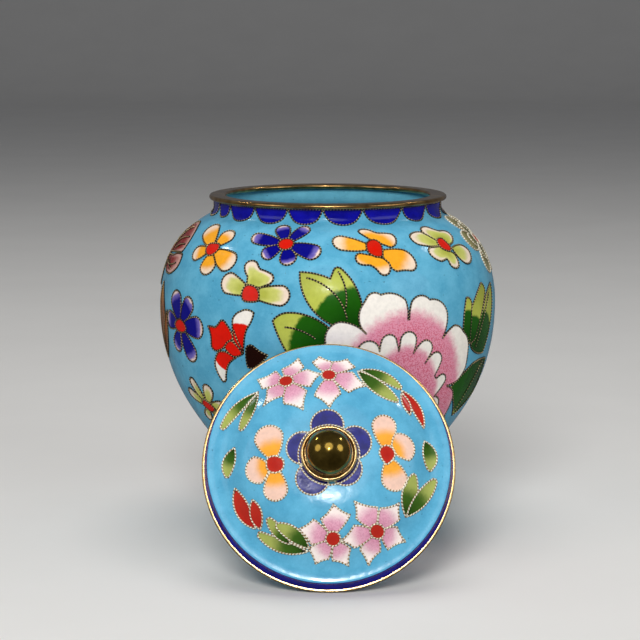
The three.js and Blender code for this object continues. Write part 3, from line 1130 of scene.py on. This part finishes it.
# The leaves round a peony, two at its upper left and a leaf of three fingers and a hanging one at
# its right: how far from its middle in azimuth and height, corners, root, reach and veins
PEONY_LEAVES = [
    (-35, 20,
     [(-7.2, 2.3, 0.06), (-3.4, -6, 0), (7.5, -8, 0), (7.6, 0.6, 0.12), (1.6, 4, 0.1), (-3.5, 4.5, 0.2)],
     (8.5, -4.5), 21.5, [[(-4, 0.8, -0.16), (3.9, -2, 0)]]),
    (-21, 25,
     [(-11.1, 10.1, 0.32), (-3, -3.4, 0), (4.8, -5.4, 0), (4.6, 1.4, 0.16), (-0.6, 11.2, 0.5),
      (-2.4, 10.8, 0), (-3.4, 8.4, 0.12)],
     (2, -4), 19, [[(-9.4, 8.6, -0.3), (0.7, -2, 0)], [(-1.3, 10.3, -0.18), (0.4, 0.9, 0)]]),
    (34, 17,
     [(-3.6, -4, 0.15), (-0.4, -6.3, 0.12), (5.4, -7.2, 0.1), (10.4, 5.6, 0.05), (10.8, 11, 0.12),
      (5.2, 8.4, 0.04)],
     (0, -6), 21, [[(7.6, 8.6, 0.1), (-0.6, -5, 0)]]),
    (34, 17,
     [(-4.9, -3.4, 0.2), (-1.5, -2.4, -0.03), (4.6, 9.4, 0.45), (2.6, 11.9, 0.08), (-3.8, 6.4, 0.12)],
     (-3.5, -3.5), 14, []),
    (34, 17,
     [(-7.2, -3, 0), (-4.2, -3, -0.05), (-3.9, 7, 0.5), (-6.3, 9, 0.1), (-7.8, 3.4, 0.1)],
     (-6, -3), 16.5, []),
    (34, 17,
     [(9.8, -9.6, 0.1), (-0.2, -9.5, 0.08), (-8.6, -15.2, -0.04), (0.4, -25.6, 0.08), (9.6, -19.5, 0.1)],
     (8, -9), 33, [[(7, -9.8, 0.18), (0.4, -23.8, 0)]]),
]


def sprays():
    angles = np.arange(HEART_LOBES) / HEART_LOBES * 2 * math.pi
    heart = [(5.5 * math.cos(a), 6.5 * math.sin(a), 0.75) for a in angles]
    for side, azimuth, height in [("front", 26, 40), ("back", 196, 42)]:
        work = Work(f"jar_peony_{side}")
        for right, up, corners, root, reach, veins in PEONY_LEAVES:
            skin = jar.spot(azimuth + right, height + up)
            work.lay(skin, corners, LEAF_GREEN, from_root(root, reach))
            for vein in veins:
                work.draw(skin, vein)
        skin = jar.spot(azimuth, height)
        work.lay(skin, PEONY_OUTER, PEONY_PINK, oval(24.2, 30.5))
        work.lay(skin, PEONY_INNER, PEONY_PINK, oval(14, 19.5))
        work.lay(skin, heart, PEONY_PINK, oval(8, 9))
        work.build()


# Jar: back and foot, in keeping with the front. Each place is a kind, an azimuth, a height and a
# turn. Low down, where the jar is narrow, the flowers are smaller.

BACK_KINDS = {
    "orange": (ORANGE_PETAL, [
        (90, 9.6, 5.4), (20, 9, 5.4), (-48, 8, 5.2), (-118, 8, 5.4), (165, 9.4, 5),
    ]),
    "blue": (BLUE_PETAL, [
        (100, 8.6, 4.4), (42, 8.2, 4.2), (-15, 9.4, 4.6), (-75, 8, 4.4), (-138, 8.2, 4.4), (164, 8.8, 4.2),
    ]),
    "green": (GREEN_PETAL, [(75, 9, 5.4), (-45, 9, 5.4), (195, 9.2, 5.4)]),
    "small": (GREEN_PETAL, [
        (90, 6.8, 3.6), (18, 6.6, 3.6), (-54, 6.6, 3.6), (-126, 6.6, 3.6), (162, 6.6, 4),
    ]),
}
BACK_PLACES = [
    ("orange", 132, 80, 10), ("blue", 166, 80.5, 0), ("orange", 202, 80, 25), ("green", 236, 79, -10),
    ("green", 112, 66, 30), ("blue", 108, 40, 15), ("orange", 92, 22, 0), ("small", 128, 24, 0),
    ("blue", 136, 60, 5), ("small", 142, 42, 20), ("orange", 258, 54, 12),
    ("blue", 262, 28, 9), ("small", 232, 24, 20), ("small", -20, 22, 0), ("orange", -60, 20, 10),
    ("blue", 24, 15, 0), ("small", 62, 20, 30), ("small", 162, 20, 0), ("green", 200, 18, 0),
]
LOW_HEIGHT = 30
LOW_SCALE = 0.8


def back_flowers():
    work = Work("jar_back_flowers")
    for kind, azimuth, height, turn in BACK_PLACES:
        finish, sizes = BACK_KINDS[kind]
        scale = LOW_SCALE if height < LOW_HEIGHT else 1
        petals = [petal(a + turn, long * scale, wide * scale, 1.6, 0.8) for a, long, wide in sizes]
        work.flower(jar.spot(azimuth, height), petals, finish, turned_by(ROUND_CORE, turn))
    work.build()


# Lid: flowers, leaves and buds. A star petal is its left, far and right point, and an orange
# flower is its middle, petals and core.

LID_STARS = {
    (-10.6, 19.7): [
        ((-11.6, 23.5), (-7.5, 26.4), (-6.2, 24)), ((-5.2, 22.9), (-1.9, 21.4), (-4.5, 17.6)),
        ((-5.4, 16.3), (-6.2, 11.3), (-11, 13.1)), ((-11.2, 15.3), (-16.2, 13), (-15.3, 17.7)),
        ((-16.6, 18.3), (-17.7, 20.8), (-13.2, 23)),
    ],
    (0, 21): [
        ((-4, 25.3), (-2.3, 26.8), (0.9, 25.3)), ((1.2, 25.3), (4.6, 26.1), (6.6, 23.9)),
        ((6, 22), (9.3, 18), (5, 16)), ((2.9, 15.6), (0.2, 11.9), (-3.5, 15)),
    ],
    (1, -20.1): [
        ((-1.9, -15.6), (1.1, -12.1), (5.1, -14.6)), ((-4.4, -21.3), (-7.5, -17.9), (-3.7, -15.7)),
        ((-0.1, -24.5), (-3.2, -25.5), (-5, -22.2)), ((5.3, -22.2), (4.8, -25.9), (0.9, -24.8)),
    ],
    (11.7, -18.1): [
        ((6.6, -15.4), (6.1, -11.3), (11.7, -12.6)), ((12.5, -12.8), (17.1, -11.3), (17.2, -15)),
        ((16.6, -16.7), (18.7, -19.8), (14.4, -21.9)), ((12.5, -22.4), (9.6, -25.7), (7.5, -22.3)),
        ((6.2, -22), (2.8, -20.6), (6, -17.1)),
    ],
}
LID_ORANGES = [
    ((-13.1, -2.2), [(103, 9.9, 7), (196, 7.3, 6.8), (-88, 8.9, 5.8)],
     [(-2, 0.1, 0.3), (-1.2, -1.8, 0.3), (1.6, -1.6, 0.3), (2, 1, 0.2), (0, 2, 0.2), (-1.8, 1.4, 0.2)]),
    ((14.2, 0.4), [(96, 9.8, 5.8), (28, 7.2, 7.2), (-74, 9.2, 6.4)],
     [(-1.9, -0.2, 0.1), (-0.3, -2.7, 0.2), (1.9, -0.2, 0.3), (0.4, 2, 0.3), (-1.6, 1.4, 0.2)]),
]
# A leaf is its root, its tip, and how far its right and left edges swell
LID_LEAVES = [
    ((-17.5, 17.4), (-26.6, 8.2), 0.26, 0.02), ((-17.5, 17), (-21.8, 7.1), 0.18, 0.17),
    ((7.9, 23), (18.2, 18.5), 0.04, 0.33), ((7.2, 22.6), (17.2, 14.3), 0.31, 0.2),
    ((-5, -22.8), (-17.4, -18.2), 0.02, 0.3), ((-9.3, -21.1), (-15, -15), 0.18, 0.28),
    ((-4.8, -22.2), (-12.8, -16.4), 0.34, 0.17), ((18.7, -14.2), (20.9, -3.9), 0.28, 0.33),
    ((18.9, -14.2), (26.3, -4.4), 0.24, 0.16), ((-23.2, 2.9), (-25.1, -4.3), 0.48, 0.22),
    ((23.6, 4.8), (25, -2.7), 0.21, 0.57),
]
LID_BUDS = [
    ((18, 18), (23.5, 8.1), 0.04, 0.36), ((18, 17), (20.1, 11.2), 0.26, 0.36),
    ((-17.9, -17), (-23, -7.1), 0.18, 0.42), ((-16.7, -17.3), (-18.6, -10.4), 0.38, 0.41),
]
KNOB_PETALS = [(-0.4, 7.3), (6.3, 3.1), (4, -3.5), (-4, -5.8), (-6.3, 1.7)]
KNOB_PETAL_RADIUS = 4
LEAF_TIP = 1.3
COLLAR_WIRE_RADIUS = COLLAR_RADIUS + 0.55


def lid_flowers():
    stars, oranges = Work("lid_star_flowers", LIT_WIRE), Work("lid_orange_flowers", LIT_WIRE)
    greens, knob_work = Work("lid_leaves_and_buds", LIT_WIRE), Work("lid_knob_petals", LIT_WIRE)
    for middle, tips in LID_STARS.items():
        petals = [star_petal(middle, *points) for points in tips]
        core = [(middle[0] + x * 0.85, middle[1] + y * 0.85, b) for x, y, b in ROUND_CORE]
        stars.flower(lid, petals, LID_PINK, core, middle, LID_RED)
    for middle, sizes, core in LID_ORANGES:
        petals = [petal(*size, 1.9, 1.2, 0.14, 0.85, middle) for size in sizes]
        oranges.flower(lid, petals, LID_ORANGE, turned_by(core, 0, middle), middle, LID_RED)
    for finish, blunt, leaves in ((LID_LEAF, LEAF_TIP, LID_LEAVES), (LID_RED, 0, LID_BUDS)):
        for root, tip, right, left in leaves:
            corners = leaf(root, tip, right, left, blunt)
            greens.lay(lid, corners, finish, from_root(root, math.dist(root, tip)))
    for right, up in KNOB_PETALS:
        corners = [(right - KNOB_PETAL_RADIUS, up, 1), (right + KNOB_PETAL_RADIUS, up, 1)]
        knob_work.lay(lid, corners, LID_COBALT)
    reach = COLLAR_WIRE_RADIUS
    knob_work.draw(lid, [(reach, 0, 1), (-reach, 0, 1), (reach, 0, 0)])
    for work in (stars, oranges, greens, knob_work):
        work.build()


# Floor, lights and camera

def stage():
    """A pale floor with a raised back, left out of the gloss so that the enamels keep their depth."""
    mesh = bpy.data.meshes.new("floor")
    side, rise, turn = 3.0, 2.0, 0.6
    angles = np.linspace(0, math.pi / 2, 16)
    depth = [-side] + [side - turn + turn * math.sin(a) for a in angles] + [side]
    level = [0.0] + [turn - turn * math.cos(a) for a in angles] + [rise]
    points = [(x, y, z) for y, z in zip(depth, level) for x in (-side, side)]
    faces = [(2 * i, 2 * i + 1, 2 * i + 3, 2 * i + 2) for i in range(len(depth) - 1)]
    mesh.from_pydata(points, [], faces)
    mesh.polygons.foreach_set("use_smooth", [True] * len(faces))
    finish = Finish("pale_floor", roughness=0.7)
    cloud = finish.noise(60.0, 3.0)
    finish.feed(Base_Color=finish.mix(cloud, srgb(228, 226, 222), srgb(236, 234, 230)))
    mesh.materials.append(finish.material)
    floor = bpy.data.objects.new("floor", mesh)
    bpy.context.scene.collection.objects.link(floor)
    floor.visible_glossy = False


def area_light(name, place, target, size, power, mirrored=False):
    """A soft lamp. Only a mirrored one is seen in the gloss, and it lights nothing else."""
    data = bpy.data.lights.new(name, "AREA")
    data.shape = "DISK"
    data.size, data.energy = size, power
    light = bpy.data.objects.new(name, data)
    light.visible_glossy = mirrored
    light.visible_diffuse = not mirrored
    light.location = place
    aim = Vector(target) - Vector(place)
    light.rotation_euler = aim.to_track_quat("-Z", "Y").to_euler()
    bpy.context.scene.collection.objects.link(light)


def lights():
    target = (0.0, 0.0, 0.05)
    area_light("key", (-0.12, -0.8, 0.6), target, 0.4, 6.4)
    area_light("fill", (0.7, -0.6, 0.5), target, 0.6, 1.2)
    area_light("top", (0.0, 0.1, 1.0), target, 0.7, 3.8)
    area_light("front_panel", (0.0, -0.75, 0.65), target, 0.6, 1.3, True)
    area_light("glint", (0.0, -0.75, 0.42), target, 0.03, 1.3, True)
    for side, reach in (("left", -1), ("right", 1)):
        area_light(f"{side}_glint", (0.6 * reach, 0.22, 0.66), target, 0.05, 0.4, True)
        area_light(f"{side}_panel", (0.8 * reach, -0.45, 0.45), target, 0.5, 0.9, True)
    world = bpy.data.worlds.new("studio")
    world.use_nodes = True
    world.node_tree.nodes["Background"].inputs["Color"].default_value = (0.9, 0.93, 1.0, 1.0)
    world.node_tree.nodes["Background"].inputs["Strength"].default_value = 0.13
    bpy.context.scene.world = world


def camera():
    data = bpy.data.cameras.new("camera")
    data.lens, data.sensor_width = CAMERA_LENS, SENSOR_WIDTH
    data.clip_start, data.clip_end = 0.05, 20.0
    eye = bpy.data.objects.new("camera", data)
    place = JAR_AXIS + np.array([CAMERA_RIGHT, -CAMERA_BACK, CAMERA_HEIGHT])
    eye.location = Vector(place * MM)
    eye.rotation_euler = (math.pi / 2 - CAMERA_PITCH, 0, 0)
    bpy.context.scene.collection.objects.link(eye)
    bpy.context.scene.camera = eye


camera()
lights()
stage()
jar_ground()
lid_ground()
lid_rim()
knob()
ring("foot_ring_gilt", "foot_ring", FOOT_OPENING_RADIUS, FOOT_RING_RADIUS, 0.0, FOOT_RING_HEIGHT)
ring("mouth_ring_gilt", "mouth_ring", MOUTH_OPENING_RADIUS, MOUTH_RING_RADIUS, BODY_TOP, MOUTH_RING_TOP)
scallops()
jar_flowers()
side_flowers()
red_blossom()
sprays()
back_flowers()
lid_flowers()

bpy.context.scene.view_settings.view_transform = "Standard"
